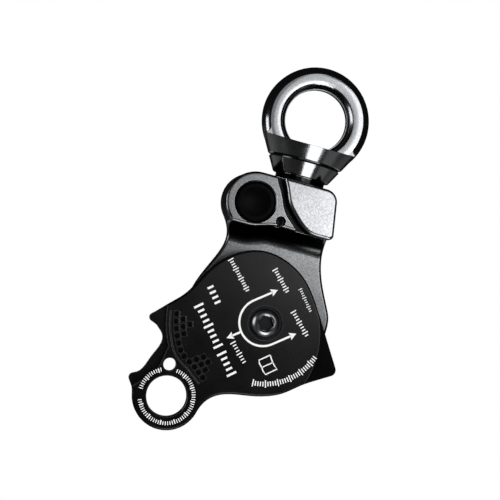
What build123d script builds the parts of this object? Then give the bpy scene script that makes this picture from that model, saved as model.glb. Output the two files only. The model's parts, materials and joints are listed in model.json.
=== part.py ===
from build123d import *
import os
from math import cos, degrees, radians, sin, sqrt

# Swivel rope pulley with a swinging side plate, in millimetres.
# +Z runs up the swivel axis, the front faces -Y, +X is to the right.
# The origin is the centre of the hole in the swivel eye.

os.makedirs("parts", exist_ok=True)

# ---------------------------------------------------------------- driving sizes
# swivel eye
eye_hole_r = 10.85
eye_land = 3.0
eye_ring_r = 18.8
eye_rim_land = 2.4
eye_inner_edge_r = 12.9
eye_outer_edge_r = 16.2
eye_edge_depth = 4.3
eye_crown_bow = 0.15
eye_outer_bow = 0.56
eye_inner_bow = 0.37
flare_outer_round = 1.6
flare_inner_round = 5.4
flare_half_width = 15.9
flare_foot_z = -8.8
flare_top_z = -3.0
saddle_play = 0.3
saddle_half_length = 12.0

# conical foot of the eye
cone_rim_r = 16.85
cone_rim_z = -8.25
cone_foot_r = 9.85
cone_foot_z = -20.6
cone_foot_round = 0.7
cone_roof_drop = 1.7
cone_groove_z = -15.2
cone_groove_width = 1.1
cone_groove_depth = 0.45
neck_r = 8.7
neck_gap = 0.3

# swivel bearing
stem_r = 6.45
stem_gap = 0.6
stem_top_gap = 0.4
stem_edge = 0.6
eye_cavity_top_z = -12.8
stem_thread_r = 5.0
stem_thread_length = 12.0
swivel_ball_r = 1.5
swivel_ball_count = 13
swivel_row_z = (-19.2, -15.2)
ball_play = 0.05
cross_pin_r = 1.25
cross_pin_drop = 7.0
cross_pin_depth = 15.5
cross_pin_edge = 0.25
port_plug_r = 0.5
port_plug_depth = 0.7
seal_inner_r = 7.1
seal_outer_r = 7.9
seal_height = 0.9
seal_play = 0.1
seal_round = 0.2

# frame: rear cheek, crosshead and button boss
axle_drop = 72.7
bay_half_width = 7.5
cheek_thick = 3.5
crown_corner_u = 12.75
crown_round = 4.5
side_lean = 0.16
button_u = -13.6
button_v = 39.6
boss_r = 10.5
bay_top_low_u = -12.6
bay_top_low_v = 31.1
bay_top_high_u = -5.5
bay_top_high_v = 33.3
bay_top_bend_r = 12.0
bay_fillet_r = 6.5
plate_play = 0.2
frame_edge = 0.7
frame_round = 1.1
boss_blend_angle = 38.0
groove_depth = 2.2

# hooked lip on the crosshead
lip_thick = 1.7
lip_round = 1.1
lip_corner_round = 1.6
slot_play = 0.35

# swinging side plate
plate_thick = 3.5
plate_open_angle = 122.2
plate_foot_v = -18.8
heel_round = 2.2
tail_r = 11.75
tail_low_angle = 44.0
tail_top_angle = 17.0
hook_tip_round = 1.7
hook_tip_turn = 95.0
lug_round = 1.5
lug_turn = 118.0
tail_hole_r = 6.95
tongue_thick = 1.6
tongue_clear_r = 34.0
tongue_start_angle = 40.0
tongue_end_angle = 4.0
lug_tip_r = 39.9
pad_r = 30.3
pad_centre_v = 11.9
tab_step = 0.8
plate_edge = 0.25
plate_round = 0.9
tie_hole_u = -3.6
tie_hole_v = 35.4
tie_hole_r = 2.2
grip_row_r = 30.5
grip_row_gap = 2.35
grip_row_count = 11
grip_side_count = 3
grip_pitch = 2.5
grip_bend_angle = 8.0
grip_bend_step = 2.1
grip_pit = 2.0
grip_pit_floor = 0.7
grip_depth = 0.55
grip_line_gap = 2.25
grip_line_width = 0.4
grip_line_depth = 0.25
grip_line_reach = 25.0

# lock button
button_r = 6.8
button_play = 0.1
button_flange_r = 7.6
button_flange_thick = 1.5
button_mouth_edge = 0.6
button_travel = 4.0
button_inset = 0.15
button_shoulder_y = 2.0
button_round = 0.7
button_dish_r = 5.2
button_dish_depth = 0.9
spring_wire_r = 0.45
spring_coil_r = 4.5
spring_turns = 6
spring_pocket_floor = 4.2
pocket_play = 0.4
cap_thick = 2.4
cap_slot_width = 1.6
cap_slot_depth = 1.0
button_seal_wire = 0.45
button_seal_back = 4.4

# lashing notch in the crosshead
notch_u = -3.5
notch_v = 35.3
notch_r = 1.85
notch_neck = 1.3
notch_depth = 8.0

# axle and its screw
axle_r = 4.0
axle_head_r = 6.0
axle_head_thick = 2.0
axle_edge = 0.35
axle_thread_r = 3.0
axle_thread_depth = 13.0
screw_head_r = 5.0
screw_head_height = 2.7
screw_rim_height = 0.4
screw_flat_r = 3.15
screw_mouth_r = 2.6
screw_mouth_depth = 0.35
screw_dome_bow = 0.47
screw_socket = 5.0
screw_socket_depth = 1.9
screw_length = 11.0
washer_r = 5.75
washer_thick = 0.5
hub_recess_r = 6.0
hub_recess_depth = 1.6
bushing_wall = 0.9
running_play = 0.04
face_play = 0.05

# sheave and its ball bearing
sheave_half_width = 6.9
sheave_rim_r = 18.0
sheave_tread_r = 14.0
sheave_rim_land = 0.6
sheave_shoulder_r = 9.9
bearing_r = 11.0
bearing_half_width = 3.5
inner_race_r = 6.05
outer_race_bore_r = 9.25
bearing_ball_r = 1.9
bearing_ball_count = 7
cage_thick = 0.5
cage_height = 2.4
race_edge = 0.3
shield_play = 0.2
spacer_step = 0.2
shield_thick = 0.35
shield_setback = 0.3
snap_ring_wire = 0.5
snap_ring_bite = 0.5
snap_ring_gap = 6.0

# reach of cutting shapes past the faces, and the width of a search band
far = 60.0
hair = 0.01

# ---------------------------------------------------------------- derived places
axle_z = -axle_drop
crown_v = button_v + boss_r
frame_top_z = axle_z + crown_v
bay_back_y = bay_half_width
rear_y = bay_back_y + cheek_thick
plate_inner_y = -bay_half_width
plate_outer_y = plate_inner_y - plate_thick
boss_face_y = plate_inner_y + plate_play
lip_inner_y = plate_outer_y + lip_thick
groove_floor_y = boss_face_y + groove_depth
button_z = axle_z + button_v
ball_circle_r = (inner_race_r + outer_race_bore_r) / 2


def front_plane(y):
    """Plane facing forward at depth y, with its origin on the axle."""
    return Plane(origin=(0, y, axle_z), x_dir=(1, 0, 0), z_dir=(0, -1, 0))


def swung_plane(y):
    """The same plane, turned with the side plate to its open position."""
    turn = radians(plate_open_angle)
    return Plane(origin=(0, y, axle_z), x_dir=(cos(turn), 0, sin(turn)), z_dir=(0, -1, 0))


def button_plane(y):
    """Plane facing forward at depth y, with its origin on the lock button's axis."""
    return Plane(origin=(button_u, y, button_z), x_dir=(1, 0, 0), z_dir=(0, -1, 0))


def level_plane(z):
    """Horizontal plane at height z on the swivel axis."""
    return Plane.XY.offset(z)


def bowed_arc(start, end, bow):
    """Arc from start to end that bows out by bow to the right of its way."""
    run = end[0] - start[0]
    rise = end[1] - start[1]
    length = sqrt(run ** 2 + rise ** 2)
    middle = ((start[0] + end[0]) / 2 + bow * rise / length,
              (start[1] + end[1]) / 2 - bow * run / length)
    return ThreePointArc(start, middle, end)


def turned(radius, angle):
    """Point at a radius, at an angle in degrees clockwise from straight up."""
    return (radius * sin(radians(angle)), radius * cos(radians(angle)))


def finish_part(builder, name):
    """Label a finished piece and write it."""
    builder.part.label = name
    export_step(builder.part, "parts/" + name + ".step")


# ---------------------------------------------------------------- outlines
def side_point(v):
    """Point at height v on the leaning right side of the crosshead."""
    return (crown_corner_u + side_lean * (crown_v - v), v)


def frame_outline():
    """Rear cheek and crosshead, seen from the front."""
    boss_turn = radians(boss_blend_angle)
    boss_low = (button_u - boss_r * cos(boss_turn), button_v - boss_r * sin(boss_turn))
    with BuildSketch() as sketch:
        with BuildLine():
            corner = TangentArc((24.3, 3.3), (0, -18.9), tangent=(0, -1))
            bottom = TangentArc(corner @ 1, (-25.6, -3.5), tangent=corner % 1)
            boss = ThreePointArc(boss_low, (button_u - boss_r, button_v), (button_u, crown_v))
            crown = FilletPolyline(boss @ 1, side_point(crown_v), side_point(34.8),
                                   radius=crown_round)
            Spline(crown @ 1, (15.9, 27.7), (18.7, 18.2), (23.0, 9.6), corner @ 0,
                   tangents=(crown % 1, corner % 0))
            Spline(bottom @ 1, (-25.6, 6.2), (-22.7, 13.8), (-19.3, 22.0), boss @ 0,
                   tangents=(bottom % 1, boss % 0))
        make_face()
    return sketch.sketch


def bay_shape():
    """Rope bay below the crosshead, open to the left, the right and below."""
    with BuildSketch() as sketch:
        with BuildLine():
            FilletPolyline((-far, bay_top_low_v), (bay_top_low_u, bay_top_low_v),
                           (bay_top_high_u, bay_top_high_v), (far, bay_top_high_v),
                           radius=bay_top_bend_r)
            Polyline((far, bay_top_high_v), (far, -far), (-far, -far), (-far, bay_top_low_v))
        make_face()
    return sketch.sketch


def lip_outline():
    """Hooked lip that covers the tongue of the closed side plate."""
    with BuildSketch() as sketch:
        with BuildLine():
            Spline((-6.6, crown_v), (-4.5, 45.9), (-3.1, 42.6), (0.5, 38.2), (6.0, 34.0),
                   (9.5, bay_top_high_v), tangents=((0.5, -1), (1, 0)))
            FilletPolyline((9.5, bay_top_high_v), side_point(bay_top_high_v), side_point(crown_v),
                           (-6.6, crown_v), radius=(lip_corner_round, crown_round))
        make_face()
    return sketch.sketch


def hook_edge(shift):
    """Edge of the plate's hook, from its tip down to the lug, moved right by shift."""
    points = ((-2.7, 46.2), (-1.1, 43.0), (1.0, 40.3))
    return [(u + shift, v) for u, v in points]


def slot_shape():
    """Room for the plate's tongue behind the lip: the lug's sweep and the hook's edge."""
    edge = hook_edge(slot_play)
    top = (edge[0][0] + 0.8, edge[0][1] + 2.4)
    with BuildSketch() as sketch:
        Circle(lug_tip_r + slot_play)
        with BuildLine():
            Polyline((top[0], far), top)
            Spline(top, *edge)
            Polyline(edge[-1], (0, bay_top_low_v), (-far, bay_top_low_v), (-far, far),
                     (top[0], far))
        make_face()
    return sketch.sketch


def groove_shape():
    """Sunken floor between the button boss and the lip."""
    with BuildSketch() as sketch:
        with BuildLine():
            Spline((-9.0, far), (-8.2, 48.5), (-5.2, 43.2), (-3.6, 39.6), (0.6, 35.2),
                   (4.5, bay_top_low_v))
            Polyline((4.5, bay_top_low_v), (far, bay_top_low_v), (far, far), (-9.0, far))
        make_face()
    return sketch.sketch


def plate_outline():
    """Side plate in its closed position, seen from the front."""
    low_turn = radians(tail_low_angle)
    top_turn = radians(tail_top_angle)
    tail_low = (button_u - tail_r * cos(low_turn), button_v - tail_r * sin(low_turn))
    tail_top = (button_u + tail_r * sin(top_turn), button_v + tail_r * cos(top_turn))
    with BuildSketch() as sketch:
        with BuildLine():
            tail = ThreePointArc(tail_low, (button_u - tail_r, button_v), tail_top)
            brow = Spline(tail @ 1, (-7.3, 50.0), (-4.3, 50.1), tangents=(tail % 1, (1, 0)))
            tip = JernArc(brow @ 1, brow % 1, hook_tip_round, -hook_tip_turn)
            valley = Spline(tip @ 1, *hook_edge(0), (4.3, 35.9), (7.0, 34.8), (10.0, 35.5),
                            (12.4, 37.0), tangents=(tip % 1, (0.8, 0.6)))
            lug = JernArc(valley @ 1, valley % 1, lug_round, -lug_turn)
            heel = FilletPolyline((-2.0, plate_foot_v), (-24.3, plate_foot_v), (-24.1, -9.0),
                                  radius=heel_round)
            Spline(lug @ 1, (16.2, 29.8), (17.8, 23.2), (22.3, 14.9), (25.7, 4.5), (23.5, -7.6),
                   (14.0, -16.1), heel @ 0, tangents=(lug % 1, (-1, 0)))
            Spline(heel @ 1, (-24.9, 1.5), (-22.6, 11.6), (-19.1, 20.6), tail @ 0,
                   tangents=(heel % 1, tail % 0))
        make_face()
    return sketch.sketch


def tongue_zone():
    """Part of the plate's edge that slides behind the lip."""
    with BuildSketch() as sketch:
        with BuildLine():
            start = turned(tongue_clear_r, tongue_start_angle)
            middle = turned(tongue_clear_r, (tongue_start_angle + tongue_end_angle) / 2)
            end = turned(tongue_clear_r, tongue_end_angle)
            ThreePointArc(start, middle, end)
            Spline(end, (-2.4, 38.2), (-5.0, 41.6), (-5.9, 45.2), (-8.4, 52.0))
            Polyline((-8.4, 52.0), (-8.4, far), (far, far), start)
        make_face()
    return sketch.sketch


def tab_zone():
    """Lower left corner of the plate, left below the level of its pad."""
    with BuildSketch() as sketch:
        with Locations((-far / 2, -far / 2)):
            Rectangle(far, far)
        with Locations((0, pad_centre_v)):
            Circle(pad_r, mode=Mode.SUBTRACT)
    return sketch.sketch


def grip_radius(angle):
    """Distance of the long grip row from the axle, which steps in beside the lashing hole."""
    share = min(max(-angle / grip_bend_angle, 0), 2) / 2
    return grip_row_r - grip_bend_step * share * share * (3 - 2 * share)


def grip_places():
    """Places of the grip pits: one long row, and shorter rows behind both of its ends."""
    half = (grip_row_count - 1) // 2
    first = half - grip_side_count
    runs = [(0, range(-half, half + 1)), (1, range(first, half)), (1, range(1 - half, 1 - first)),
            (2, range(first + 1, half - 1)), (2, range(2 - half, 1 - first))]
    places = []
    for row, run in runs:
        for index in run:
            angle = degrees(index * grip_pitch / (grip_row_r - row * grip_row_gap))
            radius = grip_radius(angle) - row * grip_row_gap
            places.append(Location((*turned(radius, angle), 0), -angle))
    return places


def grip_line():
    """Fine groove that follows the long grip row on its outer side."""
    angles = [grip_line_reach * share / 4 for share in range(4, -5, -1)]
    with BuildSketch() as sketch:
        with BuildLine() as path:
            Spline(*[turned(grip_radius(angle) + grip_line_gap, angle) for angle in angles])
        trace(path.line, grip_line_width)
    return sketch.sketch


# ---------------------------------------------------------------- swivel eye
neck_bottom_z = frame_top_z + neck_gap
cavity_r = stem_r + stem_gap
ball_track_r = (stem_r + cavity_r) / 2
groove_r = swivel_ball_r + ball_play
port_plane = Plane(origin=(0, -neck_r, (cone_foot_z + neck_bottom_z) / 2),
                   x_dir=(1, 0, 0), z_dir=(0, -1, 0))

cone_slope = (cone_rim_r - cone_foot_r) / (cone_rim_z - cone_foot_z)


def rim_corners(sketch, low_r, high_r):
    """Corners of a sketch on the rim's level, between two distances from the middle."""
    level = sketch.vertices().filter_by_position(Axis.Y, cone_rim_z - hair, cone_rim_z + hair)
    return level.filter_by(lambda corner: low_r < sqrt(corner.X ** 2 + corner.Y ** 2) < high_r)


def eye_flare():
    """Face of the eye where it spreads onto the rim of the cone."""
    with BuildSketch() as sketch:
        Circle(eye_outer_edge_r)
        Circle(eye_inner_edge_r, mode=Mode.SUBTRACT)
        with Locations((0, cone_rim_z - far / 2)):
            Rectangle(far, far)
        fillet(rim_corners(sketch, eye_outer_edge_r - hair, eye_outer_edge_r + hair),
               flare_outer_round)
        fillet(rim_corners(sketch, eye_inner_edge_r - hair, eye_inner_edge_r + hair),
               flare_inner_round)
        with Locations((0, (flare_foot_z + flare_top_z) / 2)):
            Rectangle(2 * flare_half_width, flare_top_z - flare_foot_z, mode=Mode.INTERSECT)
        Circle(eye_ring_r, mode=Mode.INTERSECT)
        Circle(eye_hole_r, mode=Mode.SUBTRACT)
    return sketch.sketch


with BuildPart() as swivel_eye:
    for side in (-1, 1):
        inner_shoulder = (eye_inner_edge_r, side * eye_edge_depth)
        shoulder = (eye_outer_edge_r, side * eye_edge_depth)
        rim = (eye_ring_r, side * eye_rim_land / 2)
        with BuildSketch(Plane.XY):
            with BuildLine():
                Polyline((0, 0), (0, side * eye_edge_depth), inner_shoulder)
                bowed_arc(inner_shoulder, shoulder, -side * eye_crown_bow)
                bowed_arc(shoulder, rim, -side * eye_outer_bow)
                Polyline(rim, (eye_ring_r, 0), (0, 0))
            make_face()
        revolve(axis=Axis.Y)
    # flat faces spread from the ring onto the cone
    with BuildSketch(Plane.XZ):
        add(eye_flare())
    extrude(amount=eye_edge_depth, both=True)
    # hole with rounded shoulders on both sides of a straight land
    for side in (-1, 1):
        mouth = (eye_inner_edge_r, side * far)
        shoulder = (eye_inner_edge_r, side * eye_edge_depth)
        land = (eye_hole_r, side * eye_land / 2)
        with BuildSketch(Plane.XY):
            with BuildLine():
                Polyline((0, 0), (0, side * far), mouth, shoulder)
                bowed_arc(shoulder, land, side * eye_inner_bow)
                Polyline(land, (eye_hole_r, 0), (0, 0))
            make_face()
        revolve(axis=Axis.Y, mode=Mode.SUBTRACT)

with BuildPart() as eye_foot:
    with BuildSketch(Plane.XZ):
        with BuildLine():
            groove_top_z = cone_groove_z + cone_groove_width / 2
            groove_top_r = cone_rim_r - cone_slope * (cone_rim_z - groove_top_z)
            groove_low_r = groove_top_r - cone_slope * cone_groove_width
            Polyline(
                (0, cone_rim_z),
                (cone_rim_r, cone_rim_z),
                (groove_top_r, groove_top_z),
                (groove_low_r - cone_groove_depth, cone_groove_z),
                (groove_low_r, cone_groove_z - cone_groove_width / 2),
                (cone_foot_r, cone_foot_z),
                (neck_r, cone_foot_z),
                (neck_r, neck_bottom_z),
                (0, neck_bottom_z),
                (0, cone_rim_z),
            )
        make_face()
    revolve(axis=Axis.Z)
    fillet(eye_foot.edges().filter_by(GeomType.CIRCLE).filter_by_position(
        Axis.Z, cone_foot_z - hair, cone_foot_z + hair).sort_by(SortBy.RADIUS)[-1:], cone_foot_round)
    # top slopes down to the front and to the back
    roof_z = cone_rim_z - cone_roof_drop * far / cone_rim_r
    with BuildSketch(Plane.YZ):
        with BuildLine():
            Polyline((0, cone_rim_z), (far, roof_z), (far, far), (-far, far), (-far, roof_z),
                     (0, cone_rim_z))
        make_face()
    extrude(amount=far, both=True, mode=Mode.SUBTRACT)

with swivel_eye:
    add(eye_foot.part)
    # the hole's land, and a saddle for the connector between the rims of the cone
    with BuildSketch(Plane.XZ):
        Circle(eye_hole_r)
    extrude(amount=eye_land / 2, both=True, mode=Mode.SUBTRACT)
    for side in (-1, 1):
        with BuildSketch(Plane.XZ.offset(side * eye_land / 2)):
            Circle(eye_hole_r + saddle_play)
        extrude(amount=side * (saddle_half_length - eye_land / 2), mode=Mode.SUBTRACT)
    # cavity for the stem, with a track for each row of balls
    with BuildSketch(level_plane(neck_bottom_z)):
        Circle(cavity_r)
    extrude(amount=eye_cavity_top_z - neck_bottom_z, mode=Mode.SUBTRACT)
    for row_z in swivel_row_z:
        with BuildSketch(Plane.XZ):
            with Locations((ball_track_r, row_z)):
                Circle(groove_r)
        revolve(axis=Axis.Z, mode=Mode.SUBTRACT)
    # recess for the neck seal
    with BuildSketch(level_plane(neck_bottom_z)):
        Circle(seal_outer_r)
        Circle(seal_inner_r - seal_play, mode=Mode.SUBTRACT)
    extrude(amount=seal_height - neck_gap + face_play, mode=Mode.SUBTRACT)
    # blind port for the grease plug
    with BuildSketch(port_plane):
        Circle(port_plug_r)
    extrude(amount=-port_plug_depth, mode=Mode.SUBTRACT)
finish_part(swivel_eye, "swivel_eye")

with BuildPart() as grease_port_plug:
    with BuildSketch(port_plane):
        Circle(port_plug_r)
        RegularPolygon(port_plug_r * 0.5, 6, mode=Mode.SUBTRACT)
    extrude(amount=-port_plug_depth)
finish_part(grease_port_plug, "grease_port_plug")

with BuildPart() as neck_seal:
    with BuildSketch(level_plane(frame_top_z + face_play)):
        Circle(seal_outer_r)
        Circle(seal_inner_r, mode=Mode.SUBTRACT)
    extrude(amount=seal_height - face_play)
    fillet(neck_seal.edges().group_by(Axis.Z)[0], seal_round)
finish_part(neck_seal, "neck_seal")

# ---------------------------------------------------------------- swivel stem
stem_top_z = eye_cavity_top_z - stem_top_gap
stem_bottom_z = frame_top_z - stem_thread_length
cross_pin_z = frame_top_z - cross_pin_drop

with BuildPart() as swivel_stem:
    with BuildSketch(level_plane(stem_bottom_z)):
        Circle(stem_thread_r)
    extrude(amount=stem_thread_length)
    with BuildSketch(level_plane(frame_top_z)):
        Circle(stem_r)
    extrude(amount=stem_top_z - frame_top_z)
    chamfer(swivel_stem.edges().group_by(Axis.Z)[-1], stem_edge)
    chamfer(swivel_stem.edges().group_by(Axis.Z)[0], stem_edge)
    for row_z in swivel_row_z:
        with BuildSketch(Plane.XZ):
            with Locations((ball_track_r, row_z)):
                Circle(groove_r)
        revolve(axis=Axis.Z, mode=Mode.SUBTRACT)
    # cross hole for the locking pin
    with BuildSketch(Plane.XZ):
        with Locations((0, cross_pin_z)):
            Circle(cross_pin_r)
    extrude(amount=stem_thread_r * 2, both=True, mode=Mode.SUBTRACT)
finish_part(swivel_stem, "swivel_stem")

for row_name, row_z in zip(("lower", "upper"), swivel_row_z):
    with BuildPart() as ball_row:
        with Locations(Plane.XY.offset(row_z)):
            with PolarLocations(ball_track_r, swivel_ball_count):
                Sphere(swivel_ball_r)
    finish_part(ball_row, "swivel_balls_" + row_name)

with BuildPart() as stem_cross_pin:
    with BuildSketch(Plane(origin=(0, rear_y, cross_pin_z), x_dir=(1, 0, 0), z_dir=(0, -1, 0))):
        Circle(cross_pin_r)
    extrude(amount=cross_pin_depth)
    chamfer(stem_cross_pin.edges().filter_by(GeomType.CIRCLE), cross_pin_edge)
finish_part(stem_cross_pin, "stem_cross_pin")

# ---------------------------------------------------------------- main frame
button_bore_r = button_r + button_play
button_chamber_r = button_flange_r + button_play

with BuildPart() as main_frame:
    with BuildSketch(front_plane(rear_y)):
        add(frame_outline())
    extrude(amount=rear_y - boss_face_y)
    chamfer(main_frame.faces().sort_by(Axis.Y)[-1].outer_wire().edges(), frame_edge)
    # rope bay, open to the front and the sides
    with BuildSketch(front_plane(bay_back_y)):
        add(bay_shape())
    extrude(amount=far, mode=Mode.SUBTRACT)
    underside = main_frame.edges().filter_by_position(Axis.Y, bay_back_y - hair, bay_back_y + hair)
    fillet(underside.filter_by_position(Axis.Z, axle_z + bay_top_low_v - hair,
                                        axle_z + bay_top_high_v + hair), bay_fillet_r)
    cheek_face = main_frame.faces().filter_by(Axis.Y).filter_by_position(
        Axis.Y, bay_back_y - hair, bay_back_y + hair)[0]
    cheek_rim = cheek_face.outer_wire().edges().filter_by_position(
        Axis.Y, bay_back_y - hair, bay_back_y + hair)
    fillet(cheek_rim.filter_by(lambda edge: (edge @ 0.5).Z < axle_z + pad_centre_v), frame_round)
    fillet(main_frame.faces().sort_by(Axis.Y)[0].outer_wire().edges(), frame_round)
    # sunken floor beside the boss, then the lip's root and the lip
    with BuildSketch(front_plane(groove_floor_y)):
        add(groove_shape())
    extrude(amount=far, mode=Mode.SUBTRACT)
    with BuildSketch(front_plane(groove_floor_y)):
        add(lip_outline())
        add(slot_shape(), mode=Mode.SUBTRACT)
    extrude(amount=groove_floor_y - lip_inner_y)
    with BuildSketch(front_plane(lip_inner_y)):
        add(lip_outline())
    extrude(amount=lip_thick)
    fillet(main_frame.faces().sort_by(Axis.Y)[0].outer_wire().edges(), lip_round)
    # bore for the button, its chamber and the thread of the cap behind it
    with BuildSketch(button_plane(rear_y)):
        Circle(button_bore_r)
    extrude(amount=rear_y - boss_face_y, mode=Mode.SUBTRACT)
    mouth = main_frame.edges().filter_by(GeomType.CIRCLE).filter_by_position(
        Axis.Y, boss_face_y - hair, boss_face_y + hair)
    chamfer(mouth.filter_by(lambda edge: abs(edge.radius - button_bore_r) < hair),
            button_mouth_edge)
    with BuildSketch(button_plane(rear_y)):
        Circle(button_chamber_r)
    extrude(amount=rear_y - button_shoulder_y, mode=Mode.SUBTRACT)
    # lashing notch, open downwards
    with BuildSketch(front_plane(boss_face_y)):
        with Locations((notch_u, notch_v)):
            Circle(notch_r)
        with Locations((notch_u, notch_v - far / 2)):
            Rectangle(notch_neck, far)
    extrude(amount=-notch_depth, mode=Mode.SUBTRACT)
    # blind hole for the stem and the hole for its locking pin
    with BuildSketch(level_plane(stem_bottom_z)):
        Circle(stem_thread_r)
    extrude(amount=far, mode=Mode.SUBTRACT)
    with BuildSketch(Plane(origin=(0, rear_y, cross_pin_z), x_dir=(1, 0, 0), z_dir=(0, -1, 0))):
        Circle(cross_pin_r)
    extrude(amount=cross_pin_depth, mode=Mode.SUBTRACT)
    # seat for the axle's head and hole for the axle
    with BuildSketch(front_plane(rear_y)):
        Circle(axle_head_r)
    extrude(amount=axle_head_thick, mode=Mode.SUBTRACT)
    with BuildSketch(front_plane(rear_y)):
        Circle(axle_r)
    extrude(amount=far, mode=Mode.SUBTRACT)
finish_part(main_frame, "main_frame")

# ---------------------------------------------------------------- side plate
tongue_front_y = plate_inner_y - tongue_thick
hub_floor_y = plate_outer_y + hub_recess_depth
bushing_r = axle_r + running_play + bushing_wall

with BuildPart() as grip_pit_room:
    with BuildSketch(Plane.XY):
        Rectangle(grip_pit, grip_pit)
    with BuildSketch(Plane.XY.offset(-grip_depth)):
        Rectangle(grip_pit_floor, grip_pit_floor)
    loft()

with BuildPart() as side_plate:
    with BuildSketch(swung_plane(plate_inner_y)):
        add(plate_outline())
    extrude(amount=plate_thick)
    fillet(side_plate.faces().sort_by(Axis.Y)[0].outer_wire().edges(), plate_round)
    chamfer(side_plate.faces().sort_by(Axis.Y)[-1].outer_wire().edges(), plate_edge)
    # thinner tongue along the hooked edge and lower corner tab
    with BuildSketch(swung_plane(tongue_front_y)):
        add(tongue_zone())
    extrude(amount=plate_thick, mode=Mode.SUBTRACT)
    with BuildSketch(swung_plane(plate_outer_y + tab_step)):
        add(tab_zone())
    extrude(amount=plate_thick, mode=Mode.SUBTRACT)
    # holes for the lock button, the lashing and the hub
    with BuildSketch(swung_plane(plate_inner_y)):
        with Locations((button_u, button_v)):
            Circle(tail_hole_r)
        with Locations((tie_hole_u, tie_hole_v)):
            Circle(tie_hole_r)
        Circle(bushing_r)
    extrude(amount=plate_thick, mode=Mode.SUBTRACT)
    with BuildSketch(swung_plane(hub_floor_y)):
        Circle(hub_recess_r)
    extrude(amount=plate_thick, mode=Mode.SUBTRACT)
    # rows of grip pits for the thumb, and a fine groove along their outer side
    with Locations(swung_plane(plate_outer_y)):
        with Locations(*grip_places()):
            add(grip_pit_room.part, mode=Mode.SUBTRACT)
    with BuildSketch(swung_plane(plate_outer_y)):
        add(grip_line())
    extrude(amount=-grip_line_depth, mode=Mode.SUBTRACT)
    hole_edges = side_plate.edges().filter_by(GeomType.CIRCLE).filter_by_position(
        Axis.Y, plate_outer_y - hair, plate_outer_y + hair)
    chamfer(hole_edges.filter_by(lambda edge: abs(edge.radius - tail_hole_r) < hair), plate_edge)
finish_part(side_plate, "side_plate")

with BuildPart() as plate_bushing:
    with BuildSketch(front_plane(plate_inner_y)):
        Circle(bushing_r)
        Circle(axle_r + running_play, mode=Mode.SUBTRACT)
    extrude(amount=plate_inner_y - hub_floor_y)
finish_part(plate_bushing, "plate_bushing")

# ---------------------------------------------------------------- axle and screw
axle_front_y = hub_floor_y - face_play
washer_front_y = axle_front_y - washer_thick

with BuildPart() as axle:
    with BuildSketch(front_plane(rear_y)):
        Circle(axle_head_r)
    extrude(amount=axle_head_thick)
    with BuildSketch(front_plane(rear_y - axle_head_thick)):
        Circle(axle_r)
    extrude(amount=rear_y - axle_head_thick - axle_front_y)
    with BuildSketch(front_plane(axle_front_y)):
        Circle(axle_thread_r)
    extrude(amount=-axle_thread_depth, mode=Mode.SUBTRACT)
    with BuildSketch(front_plane(rear_y)):
        RegularPolygon(screw_socket / sqrt(3), 6)
    extrude(amount=screw_socket_depth, mode=Mode.SUBTRACT)
    chamfer(axle.faces().sort_by(Axis.Y)[-1].outer_wire().edges(), axle_edge)
finish_part(axle, "axle")

with BuildPart() as axle_washer:
    with BuildSketch(front_plane(axle_front_y)):
        Circle(washer_r)
        Circle(axle_thread_r, mode=Mode.SUBTRACT)
    extrude(amount=washer_thick)
finish_part(axle_washer, "axle_washer")

with BuildPart() as axle_screw:
    with BuildSketch(Plane(origin=(0, washer_front_y, axle_z), x_dir=(1, 0, 0), z_dir=(0, 0, 1))):
        with BuildLine():
            dome_foot = (screw_head_r, -screw_rim_height)
            dome_top = (screw_flat_r, -screw_head_height)
            mouth_y = screw_mouth_depth - screw_head_height
            Polyline((0, mouth_y), (0, 0), (screw_head_r, 0), dome_foot)
            bowed_arc(dome_foot, dome_top, -screw_dome_bow)
            Polyline(dome_top, (screw_mouth_r, mouth_y), (0, mouth_y))
        make_face()
    revolve(axis=Axis((0, 0, axle_z), (0, 1, 0)))
    with BuildSketch(front_plane(washer_front_y - screw_head_height)):
        RegularPolygon(screw_socket / sqrt(3), 6)
    extrude(amount=-screw_socket_depth, mode=Mode.SUBTRACT)
    with BuildSketch(front_plane(washer_front_y)):
        Circle(axle_thread_r)
    extrude(amount=-screw_length)
finish_part(axle_screw, "axle_screw")

# ---------------------------------------------------------------- sheave and bearing
with BuildPart() as sheave:
    with BuildSketch(Plane(origin=(0, 0, axle_z), x_dir=(1, 0, 0), z_dir=(0, 0, 1))):
        with BuildLine():
            rim_in = sheave_half_width - sheave_rim_land
            Polyline((sheave_rim_r, -rim_in), (sheave_rim_r, -sheave_half_width),
                     (sheave_shoulder_r, -sheave_half_width),
                     (sheave_shoulder_r, -bearing_half_width),
                     (bearing_r, -bearing_half_width), (bearing_r, sheave_half_width),
                     (sheave_rim_r, sheave_half_width), (sheave_rim_r, rim_in))
            ThreePointArc((sheave_rim_r, rim_in), (sheave_tread_r, 0), (sheave_rim_r, -rim_in))
        make_face()
    revolve(axis=Axis((0, 0, axle_z), (0, 1, 0)))
    # groove for the snap ring behind the bearing
    with BuildSketch(front_plane(bearing_half_width + snap_ring_wire * 2)):
        Circle(bearing_r + snap_ring_bite)
    extrude(amount=snap_ring_wire * 2, mode=Mode.SUBTRACT)
finish_part(sheave, "sheave")

with BuildPart() as snap_ring:
    with BuildSketch(front_plane(bearing_half_width + snap_ring_wire * 2)):
        Circle(bearing_r + snap_ring_bite)
        Circle(bearing_r - snap_ring_bite * 2, mode=Mode.SUBTRACT)
        with Locations((0, -bearing_r)):
            Rectangle(snap_ring_gap, bearing_r, mode=Mode.SUBTRACT)
    extrude(amount=snap_ring_wire * 2)
finish_part(snap_ring, "bearing_snap_ring")


bearing_section = Plane(origin=(0, 0, axle_z), x_dir=(1, 0, 0), z_dir=(0, 0, 1))
bearing_axis = Axis((0, 0, axle_z), (0, 1, 0))

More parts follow.
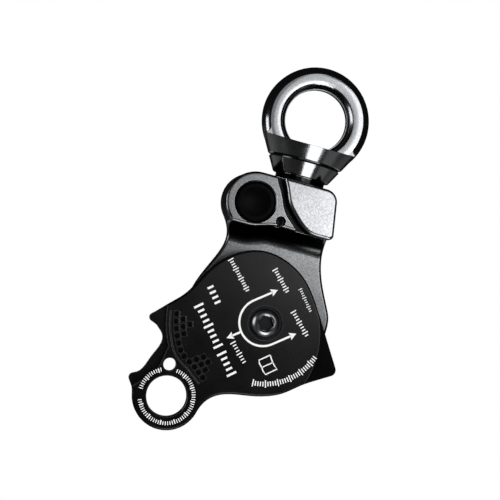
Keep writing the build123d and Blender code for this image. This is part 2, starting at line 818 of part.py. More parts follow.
for race_name, race_low_r, race_high_r in (
        ("bearing_outer_race", outer_race_bore_r, bearing_r),
        ("bearing_inner_race", axle_r, inner_race_r)):
    with BuildPart() as race:
        with BuildSketch(front_plane(bearing_half_width)):
            Circle(race_high_r)
            Circle(race_low_r, mode=Mode.SUBTRACT)
        extrude(amount=2 * bearing_half_width)
        chamfer(race.edges().filter_by(GeomType.CIRCLE).group_by(SortBy.RADIUS)[-1], race_edge)
        with BuildSketch(bearing_section):
            with Locations((ball_circle_r, 0)):
                Circle(bearing_ball_r + ball_play)
        revolve(axis=bearing_axis, mode=Mode.SUBTRACT)
    finish_part(race, race_name)

with BuildPart() as bearing_balls:
    with Locations(front_plane(0)):
        with PolarLocations(ball_circle_r, bearing_ball_count):
            Sphere(bearing_ball_r)
finish_part(bearing_balls, "bearing_balls")

with BuildPart() as bearing_cage:
    with BuildSketch(front_plane(cage_height)):
        Circle(ball_circle_r + cage_thick)
        Circle(ball_circle_r - cage_thick, mode=Mode.SUBTRACT)
    extrude(amount=2 * cage_height)
    with Locations(front_plane(0)):
        with PolarLocations(ball_circle_r, bearing_ball_count):
            Cylinder(bearing_ball_r + ball_play, 4 * cage_thick, rotation=(0, 90, 0),
                     mode=Mode.SUBTRACT)
finish_part(bearing_cage, "bearing_cage")

with BuildPart() as bearing_shields:
    for side in (-1, 1):
        inner_face = side * (bearing_half_width - shield_setback)
        with BuildSketch(front_plane(inner_face)):
            Circle(outer_race_bore_r)
            Circle(inner_race_r + shield_play, mode=Mode.SUBTRACT)
        extrude(amount=side * shield_thick)
finish_part(bearing_shields, "bearing_shields")

for spacer_name, spacer_back_y, spacer_front_y in (
        ("spacer_front", -bearing_half_width, plate_inner_y + face_play),
        ("spacer_rear", bay_back_y, bearing_half_width)):
    with BuildPart() as spacer:
        with BuildSketch(front_plane(spacer_back_y)):
            Circle(inner_race_r - spacer_step)
            Circle(axle_r, mode=Mode.SUBTRACT)
        extrude(amount=spacer_back_y - spacer_front_y)
    finish_part(spacer, spacer_name)

# ---------------------------------------------------------------- lock button
button_face_y = boss_face_y + button_inset
flange_front_y = button_shoulder_y + button_travel + face_play
flange_back_y = flange_front_y + button_flange_thick
cap_front_y = rear_y - cap_thick
pocket_floor_y = button_face_y + spring_pocket_floor
pocket_r = spring_coil_r + spring_wire_r + pocket_play
seal_front_y = button_face_y + button_seal_back

with BuildPart() as lock_button:
    with BuildSketch(button_plane(flange_back_y)):
        Circle(button_flange_r)
    extrude(amount=button_flange_thick)
    with BuildSketch(button_plane(flange_front_y)):
        Circle(button_r)
    extrude(amount=flange_front_y - button_face_y)
    fillet(lock_button.faces().sort_by(Axis.Y)[0].edges(), button_round)
    with BuildSketch(button_plane(flange_back_y)):
        Circle(pocket_r)
    extrude(amount=flange_back_y - pocket_floor_y, mode=Mode.SUBTRACT)
    # shallow dish for the thumb
    dish_sphere_r = (button_dish_r ** 2 + button_dish_depth ** 2) / (2 * button_dish_depth)
    with Locations((button_u, button_face_y + button_dish_depth - dish_sphere_r, button_z)):
        Sphere(dish_sphere_r, mode=Mode.SUBTRACT)
    # groove for the wiper seal
    with BuildSketch(button_plane(seal_front_y + 2 * button_seal_wire)):
        Circle(button_chamber_r)
        Circle(button_r - button_seal_wire, mode=Mode.SUBTRACT)
    extrude(amount=2 * button_seal_wire, mode=Mode.SUBTRACT)
finish_part(lock_button, "lock_button")

with BuildPart() as button_seal:
    with BuildSketch(button_plane(seal_front_y + 2 * button_seal_wire)):
        Circle(button_r + button_play / 2)
        Circle(button_r - button_seal_wire, mode=Mode.SUBTRACT)
    extrude(amount=2 * button_seal_wire)
finish_part(button_seal, "button_seal")

with BuildPart() as button_cap:
    with BuildSketch(button_plane(rear_y)):
        Circle(button_chamber_r)
    extrude(amount=cap_thick)
    with BuildSketch(button_plane(rear_y)):
        Rectangle(2 * button_chamber_r, cap_slot_width)
    extrude(amount=cap_slot_depth, mode=Mode.SUBTRACT)
    with BuildSketch(button_plane(cap_front_y)):
        Circle(spring_coil_r - spring_wire_r - pocket_play)
    extrude(amount=cap_thick)
finish_part(button_cap, "button_cap")

# the spring is drawn at its pressed length, between the pocket's floor and the cap
spring_length = cap_front_y - pocket_floor_y - 2 * spring_wire_r - 2 * face_play
spring_start_y = cap_front_y - spring_wire_r - face_play
with BuildPart() as button_spring:
    with BuildLine() as coil:
        Helix(spring_length / spring_turns, spring_length, spring_coil_r,
              center=(button_u, spring_start_y, button_z), direction=(0, -1, 0))
    with BuildSketch(Plane(origin=coil.line @ 0, z_dir=coil.line % 0)):
        Circle(spring_wire_r)
    sweep(path=coil.line, is_frenet=True)
finish_part(button_spring, "button_spring")
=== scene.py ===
# %% [markdown]
# # A swivel rope pulley, dressed for its portrait
#
# The solid model already has every working piece: the swivel eye, the frame
# with its crosshead, the swinging side plate, the sheave and its bearing, the
# lock button. What is left for Blender is how they look: blasted and tumbled
# anodised aluminium, turned steel, laser marks, studio light and a camera.
#
# First the frame is loaded. Its pieces keep their places, so everything below
# is measured from them.

# %% Load the pulley
import json
import math

import bmesh
import bpy
from mathutils import Matrix, Vector


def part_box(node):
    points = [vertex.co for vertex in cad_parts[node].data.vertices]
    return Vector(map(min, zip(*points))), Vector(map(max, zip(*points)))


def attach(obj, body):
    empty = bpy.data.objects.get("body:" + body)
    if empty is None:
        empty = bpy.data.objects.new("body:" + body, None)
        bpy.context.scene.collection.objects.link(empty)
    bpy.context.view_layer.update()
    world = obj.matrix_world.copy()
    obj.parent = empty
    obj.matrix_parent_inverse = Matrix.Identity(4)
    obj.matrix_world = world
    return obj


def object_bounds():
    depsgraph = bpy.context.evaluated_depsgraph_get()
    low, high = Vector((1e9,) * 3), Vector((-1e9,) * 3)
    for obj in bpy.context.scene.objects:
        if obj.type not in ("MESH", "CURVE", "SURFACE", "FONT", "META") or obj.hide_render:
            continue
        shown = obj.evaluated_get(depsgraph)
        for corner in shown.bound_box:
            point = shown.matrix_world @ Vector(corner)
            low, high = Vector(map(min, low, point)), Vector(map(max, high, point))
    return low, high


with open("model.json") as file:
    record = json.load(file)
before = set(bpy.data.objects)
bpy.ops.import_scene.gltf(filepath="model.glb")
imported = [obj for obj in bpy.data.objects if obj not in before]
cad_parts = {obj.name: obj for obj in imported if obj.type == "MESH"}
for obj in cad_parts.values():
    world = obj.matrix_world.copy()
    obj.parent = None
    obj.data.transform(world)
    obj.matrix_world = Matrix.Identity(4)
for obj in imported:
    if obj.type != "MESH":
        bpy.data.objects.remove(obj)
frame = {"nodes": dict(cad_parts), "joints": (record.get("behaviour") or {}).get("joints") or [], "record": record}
solid_low, solid_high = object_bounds()
nodes = frame["nodes"]


def box_mm(low, high):
    """Width, depth and height of a box in mm."""
    return [round((end - start) * 1000, 1) for start, end in zip(low, high)]


print("solid model, mm:", box_mm(solid_low, solid_high))

# %% [markdown]
# Two facts come from the joints: where the axle is, and how far the side plate
# has been swung open. Marks on the plate are laid out as if it were shut, with
# u to the right and v up from the axle, and one function turns such a place
# into the open plate's space.

# %% Places on the side plate
plate_hinge = next(joint for joint in frame["joints"] if joint["name"] == "side_plate_swing")
axle_z = plate_hinge["pos_m"][2]
plate_turn = math.radians(plate_hinge["range_deg"][1])
plate_face_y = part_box("side_plate")[0][1]


def on_plate(u, v, y):
    """Place of a point of the shut plate, u and v in mm and y in metres, on the open plate."""
    right = u * math.cos(plate_turn) - v * math.sin(plate_turn)
    up = u * math.sin(plate_turn) + v * math.cos(plate_turn)
    return Vector((right / 1000, y, up / 1000 + axle_z))


print("plate front at y", round(plate_face_y * 1000, 2), "mm")
print("plate swung", plate_hinge["range_deg"][1], "degrees")

# %% [markdown]
# ## Colours and nodes
#
# A hex colour is what the eye sees on a screen. Shaders work in linear light,
# so one function does that change. One more adds a node, sets its own choices
# and fills its sockets with a number, a colour or another node's output. It
# keeps each material below down to a list of what the surface has.

# %% Two helpers for materials
def linear(hex_colour):
    """Linear red, green, blue and alpha of an sRGB hex colour."""
    channels = [int(hex_colour[place:place + 2], 16) / 255 for place in (0, 2, 4)]
    return [c / 12.92 if c <= 0.04045 else ((c + 0.055) / 1.055) ** 2.4 for c in channels] + [1.0]


def add_node(tree, kind, sockets=(), **choices):
    """Adds a node. sockets maps a socket's name or number to a value or to an output."""
    made = tree.nodes.new("ShaderNode" + kind)
    for choice, value in choices.items():
        setattr(made, choice, value)
    for socket, value in dict(sockets).items():
        if isinstance(value, bpy.types.NodeSocket):
            tree.links.new(value, made.inputs[socket])
        else:
            made.inputs[socket].default_value = value
    return made


# %% [markdown]
# Five things come back in nearly every finish, so each is a small function:
# starting a material, a noise of a given size in mm, going from one range of
# numbers to another, multiplying, and shading a colour.

# %% What the finishes share
def new_finish(name):
    """Empty material, its node tree and the place of a point in the piece."""
    finish = bpy.data.materials.new(name)
    finish.use_nodes = True
    finish.node_tree.nodes.clear()
    place = add_node(finish.node_tree, "TexCoord").outputs["Object"]
    return finish, finish.node_tree, place


def per_mm(size_mm):
    """Texture scale at which one cell of a pattern measures size_mm."""
    return 1000 / size_mm


def noise(tree, place, size_mm, detail):
    """Noise from about 0.3 to 0.7, with cells of size_mm."""
    return add_node(tree, "TexNoise", {"Vector": place, "Scale": per_mm(size_mm),
                                       "Detail": detail}).outputs["Fac"]


def remap(tree, value, start, end, to_start, to_end):
    """Goes from to_start to to_end while the value goes from start to end."""
    return add_node(tree, "MapRange", {"Value": value, "From Min": start, "From Max": end,
                                       "To Min": to_start, "To Max": to_end}).outputs[0]


def times(tree, first, second):
    """Product of two numbers."""
    return add_node(tree, "Math", {0: first, 1: second}, operation="MULTIPLY").outputs[0]


def shaded(tree, colour, share):
    """Hex colour, multiplied by a share that changes from place to place."""
    return add_node(tree, "Mix", {"Factor": 1.0, "A": linear(colour), "B": share},
                    data_type="RGBA", blend_type="MULTIPLY").outputs["Result"]


# %% [markdown]
# ## Anodised aluminium
#
# Anodising grows a hard, clear oxide on aluminium, and dye in its pores makes
# it black. On the frame and the eye the metal below still throws light back,
# so they are dark metals that mirror the studio. On the plate and the button
# the dye is so deep that only the oxide's own thin gloss is left.
#
# What differs from piece to piece is the surface under the oxide: glass beads
# leave a fine matte grain on the frame, tumbling leaves the eye smooth and
# glossy, and the plate is flat ground. One function makes all of them, because
# they are one process with other numbers. It can do three more things:
#
# - a thin line of another colour where the surface turns sharply, pale on the
#   frame, the plate and the button as partly worn oxide and partly painted
#   highlight, and dark on the eye as painted shade;
# - steps along an axis, painted shade that makes a wall darker and painted
#   light that makes a face brighter than the rest of its piece;
# - black pits between two depths, for the finger grip in the side plate, where
#   painted shade takes away the gloss and the edge lines.

# %% Anodised finishes
cloud_mm = 9.0
gloss_drift = 0.04
edge_flat, edge_sharp = 0.995, 0.86
pit_light = 0.1


def anodised(name, colour, edge_wear_light_and_shade_colour, roughness, grain_mm, grain_depth_mm, metallic=1.0, edge_mm=0.25,
             edge_share=0.5, cloud_share=0.12, fleck_share=0.06, gloss=0.5, light_and_shade_steps=(),
             pit_span=None):
    """Dyed anodised aluminium: colour, edge lines, steps of painted light and shade, a grain and clouds in its
    gloss.
    """
    finish, tree, place = new_finish(name)

    # clouds from uneven dye, and flecks from the grain
    clouds = noise(tree, place, cloud_mm, 3.0)
    grain = noise(tree, place, grain_mm, 2.0)
    tone = times(tree, remap(tree, clouds, 0.3, 0.7, 1 - cloud_share, 1 + cloud_share),
                 remap(tree, grain, 0.35, 0.65, 1 - fleck_share, 1 + fleck_share))

    # painted light and shade: steps along an axis, each from one share of the colour to another
    along = add_node(tree, "SeparateXYZ", {0: place}).outputs
    for axis, start, end, start_share, end_share in light_and_shade_steps:
        tone = times(tree, tone, remap(tree, along[axis], start, end, start_share, end_share))

    # edge line where the rounded normal leaves the true one: pale lines are partly worn oxide and partly painted
    # highlight, dark ones painted shade
    soft = add_node(tree, "Bevel", {"Radius": edge_mm / 1000}, samples=6)
    true = add_node(tree, "NewGeometry")
    turn = add_node(tree, "VectorMath", {0: soft.outputs[0], 1: true.outputs["Normal"]},
                    operation="DOT_PRODUCT")
    edge_line = remap(tree, turn.outputs["Value"], edge_flat, edge_sharp, 0.0, edge_share)

    # painted shade: between the two depths of its pits the piece has neither edge lines nor gloss
    shine = gloss
    if pit_span:
        in_pit = add_node(tree, "Math", {0: along["Y"], 1: sum(pit_span) / 2,
                                         2: (pit_span[1] - pit_span[0]) / 2}, operation="COMPARE")
        lit = remap(tree, in_pit.outputs[0], 0.0, 1.0, 1.0, pit_light)
        edge_line = times(tree, edge_line, lit)
        shine = times(tree, lit, gloss)

    # relief of the blasting or grinding, and gloss that drifts with the clouds
    colour_out = add_node(tree, "Mix", {"Factor": edge_line, "A": shaded(tree, colour, tone),
                                        "B": linear(edge_wear_light_and_shade_colour)}, data_type="RGBA")
    relief = add_node(tree, "Bump", {"Height": grain, "Strength": 1.0,
                                     "Distance": grain_depth_mm / 1000})
    rough = remap(tree, clouds, 0.3, 0.7, roughness - gloss_drift, roughness + gloss_drift)
    surface = add_node(tree, "BsdfPrincipled", {"Base Color": colour_out.outputs["Result"],
                                                "Metallic": metallic,
                                                "Roughness": rough,
                                                "Specular IOR Level": shine,
                                                "Normal": relief.outputs[0]})
    add_node(tree, "OutputMaterial", {"Surface": surface.outputs[0]})
    print("anodised finish:", name)
    return finish


# %% [markdown]
# From front to back the frame has its lip, the boss's face, dark walls and the
# cheek's face, and each has its own share of the colour: painted light makes the
# lip brighter than the boss's face, painted shade makes the walls behind it
# nearly black, and the cheek's face is brought back up. The two faces' depths
# are measured from the frame's box. The eye's step is painted shade in the
# shadowed groove under its cone. A step gives its axis, where it starts and ends
# in metres, and the share of the colour at its start and its end.

# %% Frame, eye, plate and button
frame_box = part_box("main_frame")
lip_to_boss = 0.0037
cheek_thickness = 0.0035
groove_height = 0.0020
pit_top, pit_bottom = 0.00025, 0.0012
boss_front_y = frame_box[0][1] + lip_to_boss
cheek_front_y = frame_box[1][1] - cheek_thickness
cone_foot_z = frame_box[1][2] + groove_height

blasted_frame = anodised(
    # pale edge lines: partly worn oxide, partly painted highlight
    "blasted_anodised_frame", "7c7d7f", "c4c5c7", 0.24, 0.6, 0.012,
    cloud_share=0.05, fleck_share=0.16,
    # painted light on the lip, painted shade on the walls behind the boss's face
    light_and_shade_steps=(("Y", boss_front_y - 0.0012, boss_front_y - 0.0004, 0.95, 0.52),
               ("Y", boss_front_y + 0.0006, boss_front_y + 0.0013, 1.0, 0.05),
               ("Y", cheek_front_y - 0.0009, cheek_front_y - 0.0001, 1.0, 16.0)))
tumbled_eye = anodised(
    # painted shade: dark lines on the eye's rounded edges
    "tumbled_anodised_eye", "7c7d7f", "161617", 0.15, 0.5, 0.008,
    edge_mm=0.3, edge_share=0.9, cloud_share=0.06, fleck_share=0.14,
    # painted shade under the foot of the eye's cone
    light_and_shade_steps=(("Z", cone_foot_z - 0.0003, cone_foot_z, 0.03, 1.0),))
ground_plate = anodised(
    # pale edge lines: partly worn oxide, partly painted highlight
    "ground_anodised_plate", "060607", "8a8b8e", 0.26, 0.7, 0.006,
    metallic=0.0, edge_mm=0.3, edge_share=0.3, gloss=0.14,
    # painted shade in the grip's pits
    pit_span=(plate_face_y + pit_top, plate_face_y + pit_bottom))
satin_button = anodised(
    # pale edge lines: partly worn oxide, partly painted highlight
    "satin_anodised_button", "030304", "1c1d20", 0.34, 0.5, 0.005,
    metallic=0.0, gloss=0.02)

# %% [markdown]
# ## Turned steel and aluminium
#
# The screw, the axle and the sheave come off a lathe, which leaves fine rings
# round the turning axis. A wave texture in rings, about the axle, gives them.
# Real feed marks are about 0.1 mm apart; they are drawn at 0.5 mm, because
# finer ones wouldn't show.

# %% Turned finishes
waves_per_cell = 20
stain_mm = 3.0


def turned(name, colour, roughness, ring_mm=0.5, ring_depth_mm=0.004):
    """Lathe-turned metal with rings about the axle."""
    finish, tree, place = new_finish(name)
    centred = add_node(tree, "VectorMath", {0: place, 1: (0.0, 0.0, -axle_z)}, operation="ADD")
    rings = add_node(tree, "TexWave", {"Vector": centred.outputs[0],
                                       "Scale": per_mm(ring_mm) / waves_per_cell,
                                       "Distortion": 0.4, "Detail": 2.0},
                     wave_type="RINGS", rings_direction="Y")
    stain = remap(tree, noise(tree, place, stain_mm, 4.0), 0.3, 0.7, 0.85, 1.12)
    relief = add_node(tree, "Bump", {"Height": rings.outputs["Fac"],
                                     "Distance": ring_depth_mm / 1000})
    surface = add_node(tree, "BsdfPrincipled", {"Base Color": shaded(tree, colour, stain),
                                                "Metallic": 1.0, "Roughness": roughness,
                                                "Normal": relief.outputs[0]})
    add_node(tree, "OutputMaterial", {"Surface": surface.outputs[0]})
    print("turned finish:", name)
    return finish


turned_sheave = turned("turned_anodised_sheave", "6e6f72", 0.32)
blackened_screw = turned("blackened_steel_screw", "7e7f82", 0.29)
# painted shade: a much darker copy of the screw's steel, for the washer in its recess and the inside of the socket
dark_recess_steel = turned("painted_shade_recess_steel", "1c1d1f", 0.4)
turned_stainless = turned("turned_stainless_steel", "c9c8c4", 0.28)
bearing_steel = turned("ground_bearing_steel", "d6d6d8", 0.12, ring_mm=0.3, ring_depth_mm=0.001)
spring_steel = turned("oiled_spring_steel", "9b9a97", 0.33)
sintered_bronze = turned("sintered_bronze", "b08a58", 0.42)
zinc_plug = turned("dull_zinc", "4a4b4d", 0.5)

# %% [markdown]
# ## Rubber, nylon and the laser marks
#
# These three aren't metals. Rubber is nearly black and dull, moulded nylon is
# a warm off-white that gloss slides over softly. A laser marks anodised parts
# by bleaching the dye: what it leaves is a white, quite matte line, with a
# fine speckle where its dots don't quite meet.

# %% Soft finishes and marks
speckle_depth_mm = 0.01


def moulded(name, colour, roughness, speckle_mm, speckle_share):
    """Moulded rubber or plastic, or a bleached mark, with a fine speckle in its colour."""
    finish, tree, place = new_finish(name)
    speckle = noise(tree, place, speckle_mm, 2.0)
    tone = remap(tree, speckle, 0.35, 0.65, 1 - speckle_share, 1.0)
    relief = add_node(tree, "Bump", {"Height": speckle, "Distance": speckle_depth_mm / 1000})
    surface = add_node(tree, "BsdfPrincipled", {"Base Color": shaded(tree, colour, tone),
                                                "Roughness": roughness,
                                                "Normal": relief.outputs[0]})
    add_node(tree, "OutputMaterial", {"Surface": surface.outputs[0]})
    print("soft finish:", name)
    return finish


seal_rubber = moulded("seal_rubber", "1a1a1a", 0.7, 0.5, 0.3)
cage_nylon = moulded("moulded_nylon", "d8d2bf", 0.45, 0.8, 0.1)
laser_mark = moulded("laser_bleached_mark", "f2f2f1", 0.6, 0.3, 0.12)

# %% [markdown]
# ## Dressing the solids
#
# The record gives each piece a material slot, and each slot gets its finish
# here. Two places differ from their slot: the washer and the inside of the
# screw's socket get a much darker steel, painted shade in the recess round the
# screw's head and in the socket.

# %% Finish for every slot
finish_of_slot = {
    "anodised_eye": tumbled_eye, "anodised_frame": blasted_frame,
    "anodised_plate": ground_plate, "anodised_button": satin_button,
    "anodised_sheave": turned_sheave, "blackened_steel": blackened_screw,
    "stainless_steel": turned_stainless, "bearing_steel": bearing_steel,
    "spring_steel": spring_steel, "zinc_plug": zinc_plug, "bronze": sintered_bronze,
    "black_rubber": seal_rubber, "nylon_cage": cage_nylon,
}
for subpart in frame["record"]["subparts"]:
    piece = nodes[subpart["node"]]
    for holder in piece.material_slots:
        holder.material = finish_of_slot[subpart["material_slot"]]
nodes["axle_washer"].material_slots[0].material = dark_recess_steel
print("dressed solids:", len(nodes))

# %% Inside of the screw's socket
socket_r = 0.0029
socket_rim_depth = 0.0004
screw = nodes["axle_screw"]
screw_front_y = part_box("axle_screw")[0][1]
screw.data.materials.append(dark_recess_steel)
# painted shade: faces deep in the socket take the dark recess steel
for face in screw.data.polygons:
    off_axle = math.hypot(face.center.x, face.center.z - axle_z)
    if off_axle < socket_r and face.center.y > screw_front_y + socket_rim_depth:
        face.material_index = 1
print("dark faces in the socket:", sum(face.material_index for face in screw.data.polygons))

# %% [markdown]
# ## Laser marks
#
# A mark has no height worth the name, but as real geometry it stays crisp from
# near and goes along with the plate. Each mark is a very thin slab that stands
# 0.02 mm proud of the face. One function makes a slab from a flat outline, and
# the rest of the marks are outlines: bars, arrowheads and bent lines.

# %% Slabs on the plate's face
mark_height = 0.00002
mark_depth = 0.00001


def slab(mesh, outline):
    """Thin slab on the plate's face over an outline of u, v points."""
    front = [mesh.verts.new(on_plate(u, v, plate_face_y - mark_height)) for u, v in outline]
    back = [mesh.verts.new(on_plate(u, v, plate_face_y + mark_depth)) for u, v in outline]
    mesh.faces.new(front)
    mesh.faces.new(back[::-1])
    for here in range(len(outline)):
        after = (here + 1) % len(outline)
        mesh.faces.new((front[here], back[here], back[after], front[after]))


def bar(mesh, u, v, angle, length, width):
    """Straight bar centred on u, v, at an angle in degrees from the u direction."""
    along = Vector((math.cos(math.radians(angle)), math.sin(math.radians(angle)))) * length / 2
    across = Vector((-along.y, along.x)).normalized() * width / 2
    middle = Vector((u, v))
    slab(mesh, [middle - along - across, middle + along - across,
                middle + along + across, middle - along + across])


def line(mesh, path, width):
    """Bent line of even width through the path's points."""
    points = [Vector(point) for point in path]
    sides = []
    for here in range(len(points)):
        before = points[max(here - 1, 0)]
        after = points[min(here + 1, len(points) - 1)]
        way = (after - before).normalized()
        sides.append(Vector((-way.y, way.x)) * width / 2)
    for here in range(len(points) - 1):
        slab(mesh, [points[here] - sides[here], points[here + 1] - sides[here + 1],
                    points[here + 1] + sides[here + 1], points[here] + sides[here]])


def marks_piece(name, draw):
    """Makes one piece of marks, drawn by a function, riding on the side plate."""
    mesh = bmesh.new()
    draw(mesh)
    bmesh.ops.recalc_face_normals(mesh, faces=mesh.faces)
    data = bpy.data.meshes.new(name)
    mesh.to_mesh(data)
    mesh.free()
    data.materials.append(laser_mark)
    piece = bpy.data.objects.new(name, data)
    bpy.context.scene.collection.objects.link(piece)
    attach(piece, "swing_plate")
    print(name, "faces:", len(data.polygons))


# %% [markdown]
# The load arrow shows how the rope runs: over the sheave and down on both
# sides, with the pull on the eye going up. It is the usual sign on a pulley,
# a hoop with two arrowheads and a short arrow on its top. Its sizes are in mm.

# %% Load arrow round the axle
arrow_lean = 6.0
arrow_r = 8.15
arrow_reach = 9.05
arrow_top = 13.6
arrow_line = 0.7
arrow_centre = (0.57, 0.7)
hoop_step = 6
head_length = 2.4
head_half_width = 1.3
head_notch = head_length * 0.12
shaft_stop = head_length * 0.8
branch_gap = 0.3


def lean(x, y):
    """Point of the upright sign, turned by its lean about the sign's centre."""
    turn = math.radians(arrow_lean)
    return (arrow_centre[0] + x * math.cos(turn) - y * math.sin(turn),
            arrow_centre[1] + x * math.sin(turn) + y * math.cos(turn))


def arrowhead(mesh, x, tip_y, way):
    """Arrowhead with its tip at x, tip_y of the sign, pointing up (1) or down (-1)."""
    back_y = tip_y - way * head_length
    notch_y = back_y + way * head_notch
    for side in (-1, 1):
        slab(mesh, [lean(x, tip_y), lean(x + side * head_half_width, back_y), lean(x, notch_y)])


def draw_load_arrow(mesh):
    """Hoop with two heads, and the short arrow on its top."""
    shaft_low = -arrow_reach + shaft_stop
    hoop = [(-arrow_r, shaft_low)]
    hoop += [(-arrow_r * math.cos(math.radians(step)), arrow_r * math.sin(math.radians(step)))
             for step in range(0, 181, hoop_step)]
    hoop += [(arrow_r, shaft_low)]
    line(mesh, [lean(x, y) for x, y in hoop], arrow_line)
    for side in (-1, 1):
        arrowhead(mesh, side * arrow_r, -arrow_reach, -1)
    line(mesh, [lean(0, arrow_r + branch_gap), lean(0, arrow_top - shaft_stop)], arrow_line)
    arrowhead(mesh, 0, arrow_top, 1)


marks_piece("load_arrow_mark", draw_load_arrow)

# %% [markdown]
# The other marks carry no words. A dial of ticks goes round the tail hole and
# another along the plate's edge, both made by one function: so many ticks, so
# many degrees apart, every few of them a long one.

# %% Dial round the tail hole
tail_centre = (-13.6, 39.6)
tail_gaps = ((55, 80), (323, 351))


def dial(mesh, centre, first_angle, count, step_angle, tick_of, gaps=()):
    """Ticks round a centre; tick_of gives a tick's inner radius, outer radius and width."""
    for step in range(count):
        angle = first_angle + step * step_angle
        if any(start < angle < end for start, end in gaps):
            continue
        inner, outer, width = tick_of(step)
        middle, turn = (inner + outer) / 2, math.radians(angle)
        bar(mesh, centre[0] + middle * math.cos(turn), centre[1] + middle * math.sin(turn),
            angle, outer - inner, width)


def tail_tick(step):
    """Every sixth tick round the tail hole is long and wide."""
    return (8.3, 9.9, 0.42) if step % 6 == 0 else (8.6, 9.9, 0.3)


marks_piece("tail_dial_mark",
            lambda mesh: dial(mesh, tail_centre, 0, 72, 5, tail_tick, tail_gaps))

# %% [markdown]
# Bold rows of bars cross the plate, and small graduations stand where a maker
# would put figures. Each row goes from a start to an end in u, v mm, with so
# many ticks, and its kind gives the short length, the long one and the width.

# %% Rows of bars and ticks
bold_bars = (2.3, 3.5, 0.76)
even_bars = (2.2, 2.2, 0.76)
fine_ticks = (1.3, 2.1, 0.4)
tiny_ticks = (0.9, 1.4, 0.28)
bold_rows = (((12.6, 20.1), (-2.6, 17.8), 9, bold_bars),
             ((-5.4, 17.4), (-13.1, 16.2), 5, bold_bars),
             ((17.4, 14.4), (11.8, 13.6), 4, even_bars))
fine_rows = (((24.4, 5.0), (12.6, 2.6), 14, fine_ticks),
             ((-3.0, 12.6), (-10.5, 10.9), 8, fine_ticks),
             ((16.6, -8.6), (8.2, -10.4), 10, fine_ticks),
             ((0.9, -10.4), (-8.2, -12.4), 10, fine_ticks),
             ((7.6, -15.0), (-0.6, -16.1), 11, tiny_ticks))


def draw_rows(mesh, rows):
    """Rows of ticks across the way from start to end, every fourth one long."""
    for start, end, count, (short, long, width) in rows:
        start, end = Vector(start), Vector(end)
        angle = math.degrees(math.atan2(end.y - start.y, end.x - start.x)) + 90
        for step in range(count):
            place = start.lerp(end, step / (count - 1))
            bar(mesh, place.x, place.y, angle, short if step % 4 else long, width)


marks_piece("bold_row_marks", lambda mesh: draw_rows(mesh, bold_rows))
marks_piece("graduation_marks", lambda mesh: draw_rows(mesh, fine_rows))

# %% [markdown]
# The edge dial is centred on the axle. Beside it, an empty booklet-shaped
# frame is left for an inspection date.

# %% Edge dial and date frame
axle_centre = (0.0, 0.0)
date_outline = ((-10.9, 1.6), (-11.4, 5.8), (-12.6, 6.0), (-14.1, 5.6), (-15.3, 5.6), (-16.8, 5.1),
                (-16.2, 0.8), (-14.8, 1.3), (-13.6, 1.5), (-12.1, 1.6), (-10.9, 1.6))
date_fold = ((-14.1, 5.6), (-13.6, 1.5))
date_outline_width, date_fold_width = 0.42, 0.36


def edge_tick(step):
    """Every fifth tick along the plate's edge is long."""
    return (19.55, 22.05, 0.38) if step % 5 == 0 else (20.0, 21.6, 0.38)


def draw_date_frame(mesh):
    """Outline of an open booklet, with its fold."""
    line(mesh, date_outline, date_outline_width)
    line(mesh, date_fold, date_fold_width)


marks_piece("edge_dial_mark", lambda mesh: dial(mesh, axle_centre, 151, 29, 2.4, edge_tick))
marks_piece("date_frame_mark", draw_date_frame)

# %% [markdown]
# ## Stage, light and camera
#
# The pulley hangs by its eye over a pale floor. Glossy black metal is lit by
# what it mirrors, so the studio matters more than the lamps' brightness. The
# floor is white to the camera, lit paper to every other ray, and a greyer paper
# in reflections, so that the cone above it stays dark.

# %% Floor
floor_drop = 0.30
floor_half = 1.5
white_share = 0.85
floor_z = solid_low.z - floor_drop
floor_data = bpy.data.meshes.new("studio_floor")
floor_data.from_pydata([(-floor_half, -floor_half, floor_z), (floor_half, -floor_half, floor_z),
                        (floor_half, floor_half, floor_z), (-floor_half, floor_half, floor_z)],
                       [], [(0, 1, 2, 3)])
floor = bpy.data.objects.new("studio_floor", floor_data)
bpy.context.scene.collection.objects.link(floor)

paper = bpy.data.materials.new("pale_studio_paper")
paper.use_nodes = True
paper_tree = paper.node_tree
paper_tree.nodes.clear()
seen = add_node(paper_tree, "LightPath")
paper_colour = add_node(paper_tree, "Mix", {"Factor": seen.outputs["Is Glossy Ray"],
                                            "A": linear("f4f4f2"), "B": linear("b4b4b2")},
                        data_type="RGBA")
paper_lit = add_node(paper_tree, "BsdfDiffuse", {"Color": paper_colour.outputs["Result"]})
paper_white = add_node(paper_tree, "Emission", {"Color": linear("ffffff"), "Strength": 1.0})
paper_mix = add_node(paper_tree, "MixShader",
                     {0: times(paper_tree, seen.outputs["Is Camera Ray"], white_share),
                      1: paper_lit.outputs[0], 2: paper_white.outputs[0]})
add_node(paper_tree, "OutputMaterial", {"Surface": paper_mix.outputs[0]})
floor_data.materials.append(paper)
print("floor at z", round(floor_z * 1000), "mm")

# %% [markdown]
# The world is white to the camera. Reflections see a nearly black studio
# instead, which keeps the outlines dark, and a little even light reaches the
# matt surfaces.

# %% World
even_light = 0.10
mirrored_light = 0.015
world = bpy.data.worlds.new("studio")
bpy.context.scene.world = world
world.use_nodes = True
world_tree = world.node_tree
world_tree.nodes.clear()
rays = add_node(world_tree, "LightPath")
ambient = add_node(world_tree, "Mix", {"Factor": rays.outputs["Is Glossy Ray"], "A": even_light,
                                       "B": mirrored_light}, data_type="FLOAT")
strength = add_node(world_tree, "Mix", {"Factor": rays.outputs["Is Camera Ray"],
                                        "A": ambient.outputs[0], "B": 1.0}, data_type="FLOAT")
backdrop = add_node(world_tree, "Background", {"Color": linear("ffffff"),
                                               "Strength": strength.outputs[0]})
add_node(world_tree, "OutputWorld", {"Surface": backdrop.outputs[0]})
print("world set")

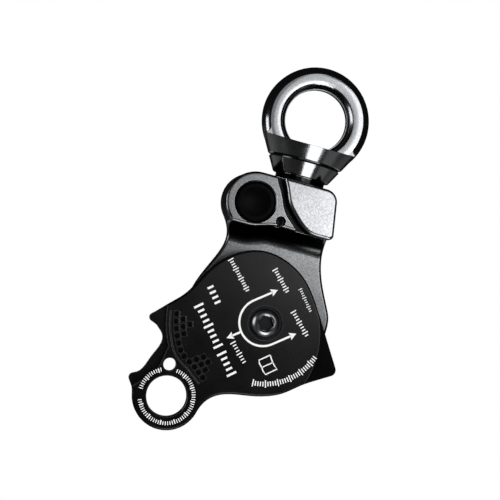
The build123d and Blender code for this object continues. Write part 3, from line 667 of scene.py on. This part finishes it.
# %% [markdown]
# Each soft box is an area lamp given by its place, its size and the brightness
# that it shows in a mirror, because that is what polished metal will show.
#
# The key light is three boxes that meet, in front to the right. They whiten
# the lip and the eye, and below the low one the side plate has nothing bright
# to mirror and stays black. Two dimmer fill boxes beside them give the eye's
# left half its softer band. The low soft box draws the white band on the cone,
# the left one the small lights on the screw and inside the eye, and the right
# low one lifts the cone's right side a little. The back floor box looks away
# from the pulley at the floor behind it, which the rear cheek then mirrors.

# %% Soft boxes
cone_middle = Vector((0.0, 0.0, -0.014))


def soft_box(name, place, size, brightness, back=None):
    """Area lamp at a place; it looks away from the way back, or at the cone without one."""
    lamp = bpy.data.lights.new(name, "AREA")
    lamp.shape = "RECTANGLE"
    lamp.size, lamp.size_y = size
    lamp.energy = brightness * math.pi * size[0] * size[1]
    box = bpy.data.objects.new(name, lamp)
    bpy.context.scene.collection.objects.link(box)
    box.visible_camera = False
    box.location = place
    out = Vector(back) if back else Vector(place) - cone_middle
    box.rotation_mode = "QUATERNION"
    box.rotation_quaternion = out.to_track_quat("Z", "Y")
    print(name, "at", place, round(lamp.energy, 2), "W")


towards_front = (0, -1, 0)
soft_box("key_low_box", (0.149, -0.300, -0.026), (0.224, 0.060), 6.8, towards_front)
soft_box("key_high_box", (0.1635, -0.300, 0.070), (0.195, 0.132), 4.7, towards_front)
soft_box("key_side_box", (0.053, -0.300, 0.070), (0.026, 0.132), 2.6, towards_front)
soft_box("fill_soft_box", (-0.055, -0.300, 0.077), (0.19, 0.275), 0.75, towards_front)
soft_box("near_fill_box", (0.013, -0.299, 0.077), (0.055, 0.275), 1.3, towards_front)
soft_box("low_soft_box", (0.054, -0.163, -0.257), (0.145, 0.14), 6.0)
soft_box("left_soft_box", (-0.190, -0.062, -0.082), (0.10, 0.120), 4.5, (-1, -0.3, 0))
soft_box("right_low_box", (0.299, -0.042, -0.276), (0.26, 0.10), 0.25)
soft_box("back_floor_box", (0.0, 0.60, 0.30), (0.9, 0.6), 6.0, (0, -1, 1))

# %% [markdown]
# The camera stands a little to the left and a little low, and is rolled, so
# that the pulley leans to the right in the picture. Its shift says how far the
# eye's hole is from the picture's middle, to the right and up, and how far
# the camera stands from it, in metres.

# %% Camera
sensor_mm = 36.0
lens_mm = 129.16
stand_turn, stand_height, roll = math.radians(-6.421), math.radians(-1.841), math.radians(-15.06)
shift = Vector((0.022870, 0.045024, 0.6279))

lens = bpy.data.cameras.new("portrait_lens")
lens.sensor_width = sensor_mm
lens.lens = lens_mm
lens.clip_start, lens.clip_end = 0.01, 20.0
camera = bpy.data.objects.new("portrait_camera", lens)
bpy.context.scene.collection.objects.link(camera)
towards = Vector((-math.sin(stand_turn) * math.cos(stand_height),
                  math.cos(stand_turn) * math.cos(stand_height), -math.sin(stand_height)))
level_right = towards.cross(Vector((0, 0, 1))).normalized()
level_up = level_right.cross(towards)
right = math.cos(roll) * level_right - math.sin(roll) * level_up
up = math.sin(roll) * level_right + math.cos(roll) * level_up
stand = -(right * shift.x + up * shift.y + towards * shift.z)
camera.matrix_world = Matrix(((right.x, up.x, -towards.x, stand.x),
                              (right.y, up.y, -towards.y, stand.y),
                              (right.z, up.z, -towards.z, stand.z),
                              (0, 0, 0, 1)))
bpy.context.scene.camera = camera
bpy.context.scene.view_settings.view_transform = "Standard"
print("camera at", [round(value * 1000, 1) for value in stand], "mm")

# %% [markdown]
